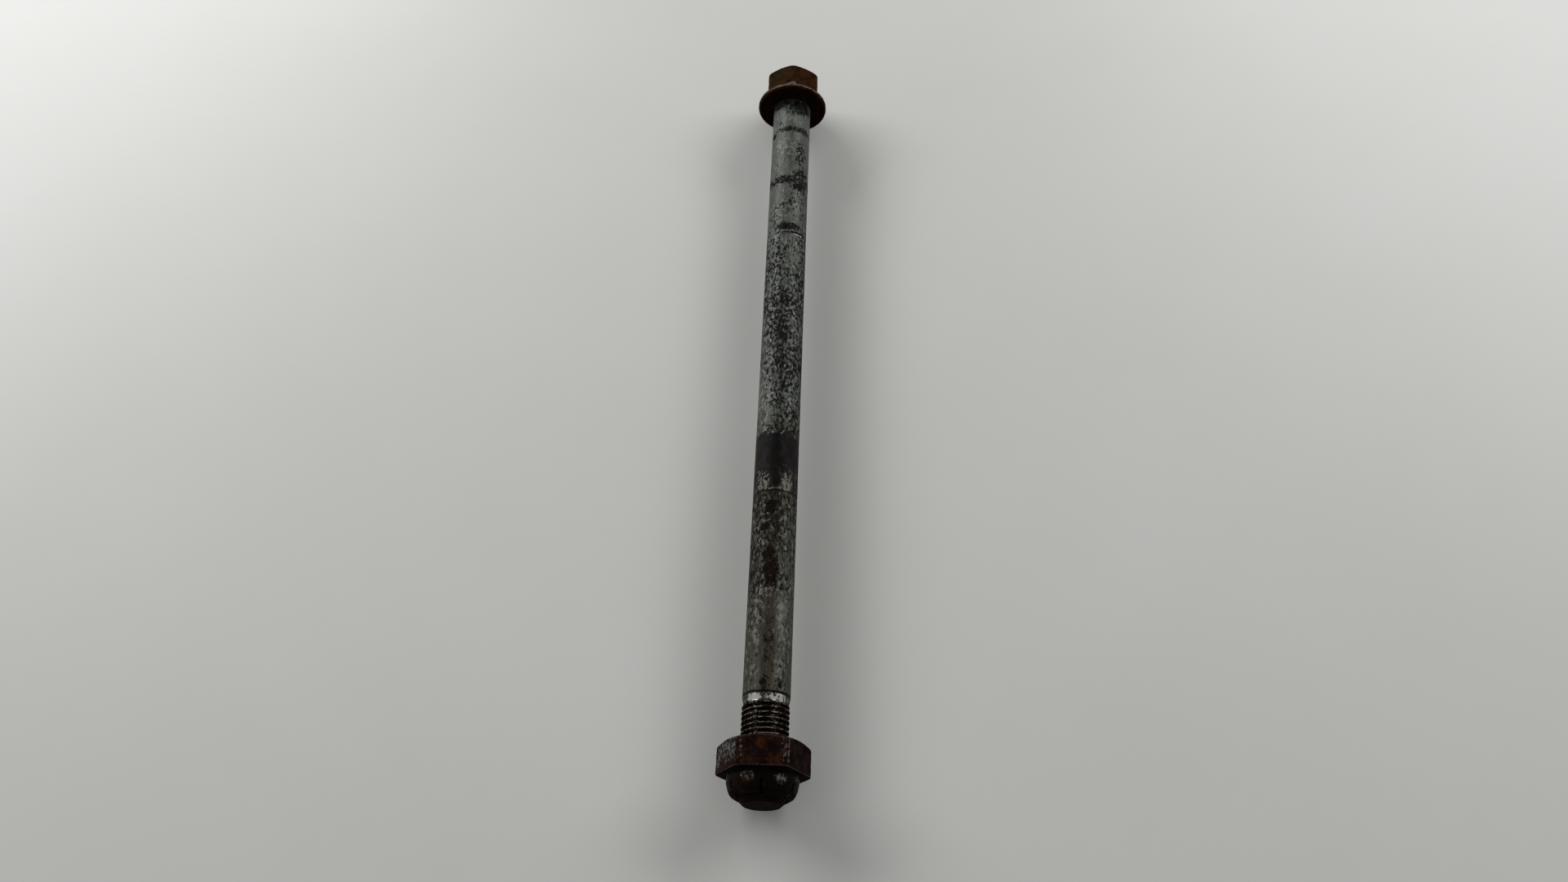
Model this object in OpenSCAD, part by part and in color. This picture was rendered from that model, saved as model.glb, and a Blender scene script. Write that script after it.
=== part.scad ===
// Swingarm pivot bolt with its all-metal lock nut.
// Frame: +X runs along the bolt from the flange to the tip, +Z is up, and the origin
// is on the bolt's axis in the plane of the flange's bearing face. Millimetres.

/* [Shank] */
// Diameter of the plain ground shank
shank_d = 14; // [13.5:0.1:15]
// Length of the plain shank, from the bearing face
shank_len = 230.5; // [60:0.5:400]
// Radius of the fillet between shank and bearing face
shank_fillet_r = 0.8; // [0.3:0.1:1.2]

/* [Thread] */
// Diameter over the thread's crests
thread_d = 13.9; // [13:0.1:14]
// Pitch of the thread
thread_pitch = 1.5; // [1:0.25:2]
// Length of the cone that leads from the shank down to the thread
runout_len = 2.1; // [1:0.1:4]
// Length of the thread, from the end of that cone to the bolt's tip
thread_len = 27.6; // [24:0.1:60]
// Length of the chamfer on the bolt's tip
tip_chamfer_len = 1.4; // [0.5:0.1:2]

/* [Head] */
// Width of the head across its flats
head_af = 19; // [17:0.5:20]
// Diameter over the head's blunt corners
head_corner_d = 21.2; // [20.8:0.1:21.8]
// Height of the head, from the bearing face to its top
head_h = 14.8; // [10:0.1:20]
// Diameter of the flat circle on top of the head
head_top_d = 18.2; // [14:0.1:18.6]
// Diameter of the flange
flange_d = 26; // [24:0.5:30]
// Width of the bevel between the bearing face and the rim
flange_bevel = 0.8; // [0.3:0.1:1.2]
// Thickness of the flange at its rim, bevel included
flange_rim_h = 1.9; // [1.4:0.1:2.5]
// Height at which the flange's sloping top meets the hexagon's flats
flange_top_h = 3.5; // [2.8:0.1:4.5]

/* [Nut hexagon] */
// Distance from the flange's bearing face to the nut's bearing face
nut_x = 243.7; // [60:0.1:420]
// Width of the nut across its flats
nut_af = 24; // [22:0.5:27]
// Diameter over the nut's blunt corners
nut_corner_d = 26.7; // [26:0.1:27.6]
// Height of the nut's hexagon
nut_hex_h = 8.6; // [6:0.1:12]
// Diameter of the nut's bearing face
nut_face_d = 22.6; // [20:0.1:23.4]

/* [Nut crown] */
// Diameter of the crown where it leaves the hexagon
crown_d = 20.6; // [19:0.1:21.8]
// Height of the crown above the hexagon
crown_h = 6.3; // [5:0.1:7]
// Height of the crown's straight foot, below the dome
crown_foot_h = 1.2; // [0.4:0.1:2]
// Radius of the dome's curve, seen from the side
dome_r = 7.7; // [7:0.1:20]
// Diameter of the crown's flat end, inside its chamfer
crown_top_d = 15.2; // [14.8:0.1:17]
// Number of slots through the crown
slot_count = 6; // [4:1:8]
// Width of a slot
slot_w = 0.9; // [0.5:0.1:1.5]
// Depth of a slot, from the crown's end
slot_depth = 3.5; // [2:0.1:5]

/* [Fit] */
// Radial gap between the thread's crests and the nut's bore
nut_gap = 0.1; // [0.05:0.01:0.1]

/* [Hidden] */
$fn = 96;

zinc_grey = [0.47, 0.48, 0.45];
rust_brown = [0.36, 0.20, 0.12];

hex_sides = 6;
chamfer_angle = 30;                          // slope of the chamfers on hexagons and crown
thread_depth = 0.6134 * thread_pitch;        // depth of a 60 degree thread cut in a bolt
thread_x = shank_len + runout_len;           // where the thread begins
bolt_len = thread_x + thread_len;            // from the bearing face to the tip
lead_d = thread_d - thread_depth;            // small end of the cone before the thread
lead_len = thread_depth / 2;                 // 45 degree rise from there to the crests
tip_d = thread_d - 3.4 * thread_depth;       // end face, just inside the thread's root
flange_top_d = head_af - 0.4;                // the sloping top ends inside the hexagon
bore_d = thread_d + 2 * nut_gap;
mouth_depth = thread_depth * 0.7;            // 45 degree countersink at the nut's bearing face
overlap = 1;                                 // how far joined or cutting bodies pass each other

// Circle through a hexagon's corners
function hex_d(af) = af / cos(180 / hex_sides);
// How far a chamfer drops between two diameters
function chamfer_drop(d_in, d_out) = (d_out - d_in) / 2 * tan(chamfer_angle);

// Turns a body that is built upright so that its axis lies along +X.
module along_x() {
    rotate([0, 90, 0]) children();
}

// Solid of revolution under a hexagon bar: a flat circle, the chamfer, then the blunt corners.
// The circle is at height 0 and the body grows upwards from it.
module chamfered_blank(face_d, corner_d, h) {
    drop = chamfer_drop(face_d, corner_d);
    rotate_extrude()
        polygon([[0, 0], [face_d / 2, 0], [corner_d / 2, drop], [corner_d / 2, h], [0, h]]);
}

// Hexagon with a chamfered lower end and blunt corners.
module chamfered_hexagon(af, corner_d, face_d, h) {
    intersection() {
        cylinder(d = hex_d(af), h = h, $fn = hex_sides);
        chamfered_blank(face_d, corner_d, h);
    }
}

// Half section of everything that is turned: flange, fillet, shank, thread and tip.
module turned_section() {
    polygon([
        [0, -flange_top_h], [flange_top_d / 2, -flange_top_h],
        [flange_d / 2, -flange_rim_h], [flange_d / 2, -flange_bevel],
        [flange_d / 2 - flange_bevel, 0], [shank_d / 2, 0],
        [shank_d / 2, shank_len], [lead_d / 2, thread_x],
        [thread_d / 2, thread_x + lead_len],
        [thread_d / 2, bolt_len - tip_chamfer_len], [tip_d / 2, bolt_len], [0, bolt_len]
    ]);
    difference() {
        translate([shank_d / 2 - overlap, 0]) square([shank_fillet_r + overlap, shank_fillet_r]);
        translate([shank_d / 2 + shank_fillet_r, shank_fillet_r]) circle(r = shank_fillet_r);
    }
}

// Bolt, forged and turned from one bar. One corner of its head points up.
module pivot_bolt() {
    color(zinc_grey) along_x() {
        rotate_extrude() turned_section();
        translate([0, 0, -head_h])
            chamfered_hexagon(head_af, head_corner_d, head_top_d, head_h - flange_rim_h);
    }
}

// Half section of the crown: a straight foot, then a dome that closes in on the thread and
// ends in a chamfer round the flat end.
module crown_section() {
    chamfer_h = crown_h - chamfer_drop(crown_top_d, crown_d);
    translate([0, -overlap]) square([crown_d / 2, crown_foot_h + overlap]);
    intersection() {
        translate([crown_d / 2 - dome_r, crown_foot_h]) circle(r = dome_r);
        polygon([
            [0, crown_foot_h], [crown_d / 2, crown_foot_h], [crown_d / 2, chamfer_h],
            [crown_top_d / 2, crown_h], [0, crown_h]
        ]);
    }
}

// Cutter for the bore, with a countersink where the bolt enters.
module bore_cutter() {
    translate([0, 0, -overlap]) cylinder(d = bore_d, h = nut_hex_h + crown_h + 2 * overlap);
    translate([0, 0, -overlap])
        cylinder(d1 = bore_d + 2 * (mouth_depth + overlap), d2 = bore_d, h = mouth_depth + overlap);
}

// Cutter for one slot, from the bore out through the crown's wall.
module slot_cutter() {
    translate([0, -slot_w / 2, nut_hex_h + crown_h - slot_depth])
        cube([crown_d / 2 + overlap, slot_w, slot_depth + overlap]);
}

// Lock nut, made in one piece. A flat points up, and each slot is over the middle of a flat.
module lock_nut() {
    color(rust_brown) translate([nut_x, 0, 0]) along_x() difference() {
        union() {
            rotate(180 / hex_sides)
                chamfered_hexagon(nut_af, nut_corner_d, nut_face_d, nut_hex_h);
            translate([0, 0, nut_hex_h]) rotate_extrude() crown_section();
        }
        bore_cutter();
        for (i = [0 : slot_count - 1]) rotate(i * 360 / slot_count) slot_cutter();
    }
}

pivot_bolt();
lock_nut();
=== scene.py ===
"""Looks of the swingarm pivot bolt and its lock nut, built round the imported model.

Units are millimetres and degrees in the classes, and metres in Blender. The frame is the
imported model's: +X from the flange to the tip, +Z up, the origin in the flange's bearing
plane. An azimuth is measured round the bolt's axis from straight up toward +Y.
"""

import logging
import math
from dataclasses import dataclass, field
from enum import Enum, IntEnum
from functools import cached_property
from typing import Union

import bpy
import numpy as np
from mathutils import Matrix, Vector


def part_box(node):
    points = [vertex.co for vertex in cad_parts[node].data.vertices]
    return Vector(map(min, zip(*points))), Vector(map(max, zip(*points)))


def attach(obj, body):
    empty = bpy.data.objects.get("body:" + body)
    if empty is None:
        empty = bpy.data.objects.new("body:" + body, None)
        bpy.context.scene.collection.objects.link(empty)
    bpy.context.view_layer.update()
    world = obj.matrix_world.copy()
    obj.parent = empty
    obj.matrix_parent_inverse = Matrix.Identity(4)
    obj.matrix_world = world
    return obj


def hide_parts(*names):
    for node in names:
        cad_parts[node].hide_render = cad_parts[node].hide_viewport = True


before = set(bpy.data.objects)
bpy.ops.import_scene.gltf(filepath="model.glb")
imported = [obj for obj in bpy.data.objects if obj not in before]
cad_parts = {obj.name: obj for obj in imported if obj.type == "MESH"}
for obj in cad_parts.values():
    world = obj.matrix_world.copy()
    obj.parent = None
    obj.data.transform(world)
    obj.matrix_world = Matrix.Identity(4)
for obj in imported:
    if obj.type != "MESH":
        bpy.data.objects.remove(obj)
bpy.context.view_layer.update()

MM: float = 0.001
RING: float = 1e4               # half width of a mark that goes all the way round
SECTORS: int = 6                # flats on the head and the nut, and slots in the crown
SECTOR: float = 360 / SECTORS
THREAD_DEPTH: float = 0.6134    # depth of a 60 degree thread, in pitches
CHAMFER_SLOPE: float = math.tan(math.radians(30))    # of both hexagons and the crown
log = logging.getLogger("pivot_bolt")

Colour = tuple[float, float, float]
Levels = tuple[tuple[float, float], ...]    # stops along the bolt, each a place and a level
Socket = bpy.types.NodeSocket
Input = Union[float, Colour, Socket]
Inputs = dict[Union[str, int], Input]       # by the name or the number of a node's input


class Layer(Enum):
    """What the weather and use have done to a surface, each kept as an attribute from 0 to 1."""

    SPECKS = "specks"    # share covered by dark spots, which on the shank also paint light on the left side, shade on the right and a dark reflection along the top
    STAIN = "stain"      # dark film of oil and dirt, which also paints shade: in the nut's slots, on its outer face and crown, and on the shank next to the head
    FILM_SHEEN = "thin"        # how pale and grey that film is painted: paler away from the top line, a painted sheen
    GLOSS = "gloss"      # how smooth and shiny that film is
    RUST = "rust"        # red-brown rust that has broken through
    WARM = "warm"        # how orange the rust is, and on the shank how browned the plating is, with a painted dark reflection along its top line and a painted highlight round +38 degrees from 168 mm on
    BLOOM_AND_PAINTED_LIGHT = "bloom_and_painted_light"      # pale chalky plating, and on the shank painted light: heavier along the highlight lines near ±32 degrees, lighter along the top line
    BARE_AND_HIGHLIGHT = "bare"        # metal rubbed bright; on the shank's band and the thread's flanks laid heaviest where highlights fall, as painted highlight
    EDGE = "edge"        # nearness to an outer edge
    CREST = "crest"      # height on the thread, from root to crest; lowered inside the nut as painted shade


# ---------------------------------------------------------------- shapes


def smooth_min(a: np.ndarray, b: np.ndarray | float, blend: float) -> tuple[np.ndarray, np.ndarray]:
    """Lower of an array and another array or a number, with a rounded corner where they cross.

    With h running from 0 to 1 while b - a runs from -blend to +blend, the value is the
    straight mix of b and a by h, less blend * h * (1 - h).

    Args:
        a: First array.
        b: Second array, or a number.
        blend: Difference over which the two run into each other.

    Returns:
        The rounded minimum, and how much of a corner each place is, from 0 to 1.
    """
    h = np.clip(0.5 + 0.5 * (b - a) / blend, 0.0, 1.0)
    return b + (a - b) * h - blend * h * (1 - h), 4 * h * (1 - h)


def smooth_step(value: np.ndarray, low: float, high: float) -> np.ndarray:
    """0 below low, 1 above high, and 3t^2 - 2t^3 between them."""
    t = np.clip((value - low) / (high - low), 0.0, 1.0)
    return t * t * (3 - 2 * t)


def bell(value: np.ndarray, middle: float, width: float) -> np.ndarray:
    """exp(-d^2), with d the distance from the middle in widths."""
    return np.exp(-(((value - middle) / width) ** 2))


def level_at(place: np.ndarray, levels: Levels) -> np.ndarray:
    """Level at each place, in straight runs from stop to stop."""
    places, values = zip(*levels)
    return np.interp(place, places, values)


def folded(turn: np.ndarray) -> np.ndarray:
    """Angle brought to between -180 and 180 degrees."""
    return (turn + 180) % 360 - 180


def steps(*stops: float, gap: float) -> np.ndarray:
    """Places from stop to stop at even gaps.

    Args:
        stops: The places to pass, each kept once.
        gap: Widest gap between two places.

    Returns:
        The places, in order.
    """
    runs = [
        np.linspace(a, b, max(2, math.ceil(abs(b - a) / gap) + 1))[:-1]
        for a, b in zip(stops[:-1], stops[1:])
    ]
    return np.concatenate([*runs, [stops[-1]]])


@dataclass(frozen=True)
class Waves:
    """Smooth random unevenness: the depth, mean length, seed, number and spread of its waves."""

    depth: float
    length: float
    seed: int
    count: int = 18
    spread: tuple[float, float] = (0.7, 1.4)

    def at(self, points: np.ndarray) -> np.ndarray:
        """Mean of sine waves of random direction, length and phase.

        Args:
            points: Places, with three coordinates last.

        Returns:
            A value from about -1 to 1 for each place.
        """
        rng = np.random.default_rng(self.seed)
        directions = rng.normal(size=(self.count, 3))
        directions /= np.linalg.norm(directions, axis=1, keepdims=True)
        numbers = 2 * np.pi / (self.length * rng.uniform(*self.spread, self.count))
        phase = points @ (directions * numbers[:, None]).T + rng.uniform(0, 2 * np.pi, self.count)
        return np.sin(phase).sum(-1) / math.sqrt(self.count / 2) / 2


@dataclass(frozen=True)
class Mark:
    """A patch on a round surface: an ellipse with a full middle that fades at its rim."""

    along: float
    azimuth: float
    half_length: float
    half_width: float
    strength: float = 1.0


Marks = tuple[Mark, ...]


@dataclass
class Skin:
    """A surface round the bolt's axis, as arrays of rows along an outline by columns round it."""

    along: np.ndarray
    radius: np.ndarray
    azimuth: np.ndarray
    layers: dict[Layer, np.ndarray] = field(default_factory=dict)

    @property
    def turn(self) -> np.ndarray:
        """Azimuths from -180 to 180 degrees."""
        return folded(self.azimuth)

    def points(self) -> np.ndarray:
        """Places in millimetres: (x, r sin a, r cos a)."""
        a = np.radians(self.azimuth)
        return np.stack([self.along, self.radius * np.sin(a), self.radius * np.cos(a)], -1)

    def followed_by(self, other: "Skin") -> "Skin":
        """The two surfaces as one, the other's rows after this one's.

        Args:
            other: A surface with the same columns and layers.

        Returns:
            The joined surface.
        """
        layers = {key: np.concatenate([value, other.layers[key]]) for key, value in self.layers.items()}
        return Skin(np.concatenate([self.along, other.along]), np.concatenate([self.radius, other.radius]),
                    np.concatenate([self.azimuth, other.azimuth]), layers)

    def paint(self, marks: Marks) -> np.ndarray:
        """Strongest mark at each place, each worth strength * exp(-d^4).

        d is the distance from the mark's middle, in half lengths along the bolt and half
        widths round it.

        Args:
            marks: The marks to lay on.

        Returns:
            The level of the marks, from 0 to 1.
        """
        level = np.zeros_like(self.along)
        for mark in marks:
            round_it = np.radians(folded(self.azimuth - mark.azimuth)) * self.radius / mark.half_width
            d2 = ((self.along - mark.along) / mark.half_length) ** 2 + round_it**2
            level = np.maximum(level, mark.strength * np.exp(-d2 * d2))
        return level

    def roughen(self, waves: Waves, share: np.ndarray) -> None:
        """Sinks the surface by waves, never outwards, so that the size stays.

        Args:
            waves: The waves.
            share: How much of their depth each place takes.
        """
        wave = waves.at(self.points())
        self.radius = self.radius - share * waves.depth * np.clip(0.5 + 0.5 * wave, 0, 1)

    def dent(self, marks: Marks) -> None:
        """Sinks the surface at each mark by its strength in millimetres."""
        for mark in marks:
            self.radius = self.radius - self.paint((mark,))

    def piece(self, name: str, materials: list[bpy.types.Material], material_rows: np.ndarray,
              capped: bool) -> bpy.types.Object:
        """Closed mesh over the surface: quads between rows and columns, which wrap round the axis.

        Args:
            name: Name of the piece.
            materials: The piece's materials.
            material_rows: Index of the material for the band of faces after each row.
            capped: True if the first and last rows are each closed onto the axis by a fan, false
                if the last row runs on into the first.

        Returns:
            The object, at the origin, with the layers as vertex attributes.
        """
        rows, columns = self.along.shape
        index = np.arange(rows * columns).reshape(rows, columns)
        if not capped:
            index = np.concatenate([index, index[:1]])
        right = np.roll(index, -1, axis=1)
        faces = np.stack([index[:-1], right[:-1], right[1:], index[1:]], -1).reshape(-1, 4).tolist()
        slots = np.repeat(material_rows[: len(index) - 1], columns)
        points = self.points().reshape(-1, 3)
        layers = {layer: value.ravel() for layer, value in self.layers.items()}
        if capped:
            first, last = (np.full(columns, rows * columns + k) for k in (0, 1))
            ends = np.array([[self.along[0, 0], 0, 0], [self.along[-1, 0], 0, 0]])
            points = np.concatenate([points, ends])
            layers = {layer: np.concatenate([v, v[:1], v[-1:]]) for layer, v in layers.items()}
            faces += np.stack([right[0], index[0], first], -1).tolist()
            faces += np.stack([index[-1], right[-1], last], -1).tolist()
            slots = np.concatenate([slots, np.full(columns, slots[0]), np.full(columns, slots[-1])])
        mesh = bpy.data.meshes.new(name)
        mesh.from_pydata((points * MM).tolist(), [], faces)
        mesh.polygons.foreach_set("material_index", slots.astype(np.int32))
        mesh.polygons.foreach_set("use_smooth", np.ones(len(faces), bool))
        for layer, value in layers.items():
            attribute = mesh.attributes.new(layer.value, "FLOAT", "POINT")
            attribute.data.foreach_set("value", np.clip(value, 0, 1).astype(np.float32))
        for material in materials:
            mesh.materials.append(material)
        mesh.update()
        return in_scene(bpy.data.objects.new(name, mesh))


def in_scene(made: bpy.types.Object) -> bpy.types.Object:
    """Puts an object in the scene and gives it back."""
    bpy.context.scene.collection.objects.link(made)
    return made


# ---------------------------------------------------------------- nodes


class Sheet:
    """A node tree being drawn up."""

    def __init__(self, tree: bpy.types.NodeTree) -> None:
        """Starts on a tree."""
        self.tree = tree

    def put(self, socket: Socket, value: Input) -> None:
        """Sets an input to a value, or joins it to another node's output.

        Args:
            socket: The input.
            value: A number, a colour or the output.
        """
        if isinstance(value, Socket):
            self.tree.links.new(value, socket)
        elif socket.type == "RGBA":
            socket.default_value = (*value, 1.0)
        else:
            socket.default_value = value

    def fill(self, node: bpy.types.Node, inputs: Inputs) -> bpy.types.Node:
        """Sets several of a node's inputs.

        Args:
            node: The node.
            inputs: Values or outputs, by the input's name or number.

        Returns:
            The same node.
        """
        for key, value in inputs.items():
            self.put(node.inputs[key], value)
        return node

    def add(self, kind: str, inputs: Inputs, **settings: object) -> bpy.types.Node:
        """Adds a node.

        Args:
            kind: Blender's name for the node type.
            inputs: Values or outputs for its inputs, by name or number.
            settings: Values of the node's own properties.

        Returns:
            The node.
        """
        node = self.tree.nodes.new(kind)
        for key, value in settings.items():
            setattr(node, key, value)
        return self.fill(node, inputs)

    def math(self, operation: str, *values: Input) -> Socket:
        """Result of a Math node on two or three values."""
        return self.add("ShaderNodeMath", dict(enumerate(values)), operation=operation).outputs[0]

    def mix(self, share: Input, a: Input, b: Input, strength: float = 1.0, blend: str = "MIX") -> Socket:
        """Colour a turning into colour b.

        Args:
            share: How much of b there is.
            a: First colour.
            b: Second colour.
            strength: What the share is multiplied by.
            blend: How b is laid over a.

        Returns:
            The mixed colour.
        """
        if strength != 1.0:
            share = self.math("MULTIPLY", share, strength)
        node = self.add("ShaderNodeMix", {0: share, 6: a, 7: b}, data_type="RGBA", blend_type=blend)
        return node.outputs[2]

    def blend(self, share: Input, a: Input, b: Input) -> Socket:
        """Value a turning into value b by a share."""
        return self.add("ShaderNodeMix", {0: share, 2: a, 3: b}, data_type="FLOAT").outputs[0]

    def remap(self, value: Input, low: Input, high: Input, to: tuple[float, float] = (0.0, 1.0)) -> Socket:
        """Smooth step of a value.

        Args:
            value: The value.
            low: Where the step begins.
            high: Where it ends.
            to: Results at the beginning and the end.

        Returns:
            The result.
        """
        inputs = {"Value": value, "From Min": low, "From Max": high, "To Min": to[0], "To Max": to[1]}
        return self.add("ShaderNodeMapRange", inputs, interpolation_type="SMOOTHSTEP").outputs[0]

    def noise(self, vector: Socket, size: Input, detail: float, roughness: float) -> Socket:
        """Cloudy noise.

        Args:
            vector: Places, in metres.
            size: Size of its blobs in millimetres.
            detail: Number of finer layers.
            roughness: Strength of each layer against the one before.

        Returns:
            The noise, from 0 to 1 and mostly near 0.5.
        """
        scale = self.math("DIVIDE", 1 / MM, size)
        inputs = {"Vector": vector, "Scale": scale, "Detail": detail, "Roughness": roughness}
        return self.add("ShaderNodeTexNoise", inputs).outputs[0]

    def bump(self, height: Socket, strength: float, distance: float) -> Socket:
        """Normal of a bumpy surface, with the bumps' distance in millimetres."""
        inputs = {"Strength": strength, "Distance": distance * MM, "Height": height}
        return self.add("ShaderNodeBump", inputs).outputs[0]

    def layer(self, layer: Layer) -> Socket:
        """Reads a layer painted on the mesh."""
        return self.add("ShaderNodeAttribute", {}, attribute_name=layer.value).outputs["Fac"]

    @cached_property
    def place(self) -> Socket:
        """Object coordinates, in metres."""
        return self.add("ShaderNodeTexCoord", {}).outputs["Object"]

    def use(self, group: bpy.types.NodeTree, **inputs: Input) -> bpy.types.Node:
        """Places a node group with its inputs by name."""
        return self.fill(self.add("ShaderNodeGroup", {}, node_tree=group), inputs)


@dataclass(frozen=True)
class Spots:
    """A pattern of ragged spots: size, softness of the rims, stretch along the bolt, even share."""

    size: float
    softness: float
    stretch: float = 1.0
    share: float = 0.5


@dataclass(frozen=True)
class Scuffs:
    """Wear on what stands out: how far it reaches down, and the size of its breaks."""

    reach: float
    size: float


class Effects:
    """Node groups that more than one finish uses."""

    SOCKETS: dict[type, str] = {
        type(None): "NodeSocketVector", float: "NodeSocketFloat", tuple: "NodeSocketColor",
    }
    NOISE_TOP: float = 0.785      # hardly any of the noise lies above this level
    NOISE_RANGE: float = 0.57     # how far below it the lowest noise lies

    def __init__(self) -> None:
        """Builds each group once."""
        self.blotches = self._blotches()
        self.crust = self._crust()
        self.scuffs = self._scuffs()

    def spots(self, sheet: Sheet, spots: Spots, layer: Layer | None = None) -> Socket:
        """Mask of spots over a finish.

        Args:
            sheet: The finish's nodes.
            spots: The pattern.
            layer: The painted layer that says what share they cover, or none for an even share.

        Returns:
            The mask.
        """
        share = sheet.layer(layer) if layer else spots.share
        return sheet.use(self.blotches, Vector=sheet.place, Size=spots.size, Share=share,
                         Softness=spots.softness, Stretch=spots.stretch).outputs["Mask"]

    def worn(self, sheet: Sheet, scuffs: Scuffs, layer: Layer) -> Socket:
        """Mask of rubbed places.

        Args:
            sheet: The finish's nodes.
            scuffs: The kind of wear.
            layer: The painted layer that says what stands out.

        Returns:
            The mask.
        """
        return sheet.use(self.scuffs, Vector=sheet.place, Edge=sheet.layer(layer), Reach=scuffs.reach,
                         Size=scuffs.size).outputs["Mask"]

    def _start(self, name: str, inputs: dict[str, object], outputs: dict[str, type]
               ) -> tuple[bpy.types.NodeTree, Sheet, dict[str, Socket], bpy.types.Node]:
        """Makes a group with named sockets.

        Args:
            name: Name of the group.
            inputs: For each input its value at first: a number, a colour, or None for a vector.
            outputs: For each output its kind: float or tuple.

        Returns:
            The group, a sheet on it, its inputs by name, and its output node.
        """
        tree = bpy.data.node_groups.new(name, "ShaderNodeTree")
        for label, value in inputs.items():
            socket = tree.interface.new_socket(label, in_out="INPUT", socket_type=self.SOCKETS[type(value)])
            if value is not None:
                socket.default_value = value
        for label, kind in outputs.items():
            tree.interface.new_socket(label, in_out="OUTPUT", socket_type=self.SOCKETS[kind])
        sheet = Sheet(tree)
        sources = sheet.add("NodeGroupInput", {}).outputs
        given = {label: sources[label] for label in inputs}
        return tree, sheet, given, sheet.add("NodeGroupOutput", {})

    def _blotches(self) -> bpy.types.NodeTree:
        """Ragged spots that cover a given share: noise above a level that falls as the share grows.

        Returns:
            The group.
        """
        tree, sheet, given, out = self._start(
            "blotches",
            {"Vector": None, "Size": 1.0, "Share": 0.5, "Softness": 0.05, "Stretch": 1.0},
            {"Mask": float},
        )
        shrink = sheet.math("DIVIDE", 1.0, given["Stretch"])
        scale = sheet.add("ShaderNodeCombineXYZ", {0: shrink, 1: 1.0, 2: 1.0}).outputs[0]
        vector = sheet.add("ShaderNodeVectorMath", {0: given["Vector"], 1: scale}, operation="MULTIPLY")
        cloud = sheet.noise(vector.outputs[0], given["Size"], 5.0, 0.7)
        level = sheet.math("MULTIPLY_ADD", given["Share"], -self.NOISE_RANGE, self.NOISE_TOP)
        low = sheet.math("SUBTRACT", level, given["Softness"])
        high = sheet.math("ADD", level, given["Softness"])
        sheet.put(out.inputs["Mask"], sheet.remap(cloud, low, high))
        return tree

    def _crust(self) -> bpy.types.NodeTree:
        """Rust: two tones in patches of a few millimetres, with dark grains and a lumpy surface.

        Returns:
            The group.
        """
        tree, sheet, given, out = self._start(
            "crust",
            {"Vector": None, "Size": 2.5, "Deep": (0.02, 0.01, 0.006, 1.0),
             "Fresh": (0.06, 0.025, 0.01, 1.0), "Warmth": 0.5, "Grain": 0.5},
            {"Color": tuple, "Height": float},
        )
        vector, size = given["Vector"], given["Size"]
        patches = sheet.use(self.blotches, Vector=vector, Size=size, Share=given["Warmth"], Softness=0.12)
        colour = sheet.mix(patches.outputs["Mask"], given["Deep"], given["Fresh"])
        fine = sheet.noise(vector, sheet.math("MULTIPLY", size, 0.22), 3.0, 0.7)
        grains = sheet.math("MULTIPLY", sheet.remap(fine, 0.36, 0.56, to=(1.0, 0.0)), given["Grain"])
        lumps = sheet.noise(vector, sheet.math("MULTIPLY", size, 0.5), 4.0, 0.65)
        sheet.fill(out, {"Color": sheet.mix(grains, colour, (0.25, 0.2, 0.2), blend="MULTIPLY"),
                         "Height": sheet.blend(0.4, lumps, fine)})
        return tree

    def _scuffs(self) -> bpy.types.NodeTree:
        """Worn edges: the edge layer, broken up by noise, above a level set by the reach.

        Returns:
            The group.
        """
        tree, sheet, given, out = self._start(
            "scuffs", {"Vector": None, "Edge": 0.0, "Reach": 0.5, "Size": 1.0}, {"Mask": float}
        )
        cloud = sheet.noise(given["Vector"], given["Size"], 3.0, 0.6)
        torn = sheet.math("MULTIPLY_ADD", cloud, 1.6, -0.8)
        level = sheet.math("ADD", given["Edge"], torn)
        low = sheet.math("SUBTRACT", 1.0, given["Reach"])
        high = sheet.math("ADD", low, 0.25)
        sheet.put(out.inputs["Mask"], sheet.remap(level, low, high))
        return tree


# ---------------------------------------------------------------- finishes


@dataclass(frozen=True)
class Finish:
    """A surface finish. Each kind draws its own nodes into one Principled shader."""

    name: str

    def material(self, effects: Effects) -> bpy.types.Material:
        """Makes the material.

        Args:
            effects: The shared node groups.

        Returns:
            The material, with its nodes drawn.
        """
        made = bpy.data.materials.new(self.name)
        made.use_nodes = True
        made.node_tree.nodes.clear()
        sheet = Sheet(made.node_tree)
        shader = sheet.add("ShaderNodeBsdfPrincipled", {})
        sheet.add("ShaderNodeOutputMaterial", {"Surface": shader.outputs[0]})
        sheet.fill(shader, self.draw(sheet, effects))
        return made

    def draw(self, sheet: Sheet, effects: Effects) -> dict[str, Input]:
        """Draws the finish's nodes.

        Args:
            sheet: The material's nodes.
            effects: The shared node groups.

        Returns:
            What goes into the shader's inputs, by name.
        """
        raise NotImplementedError


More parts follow.
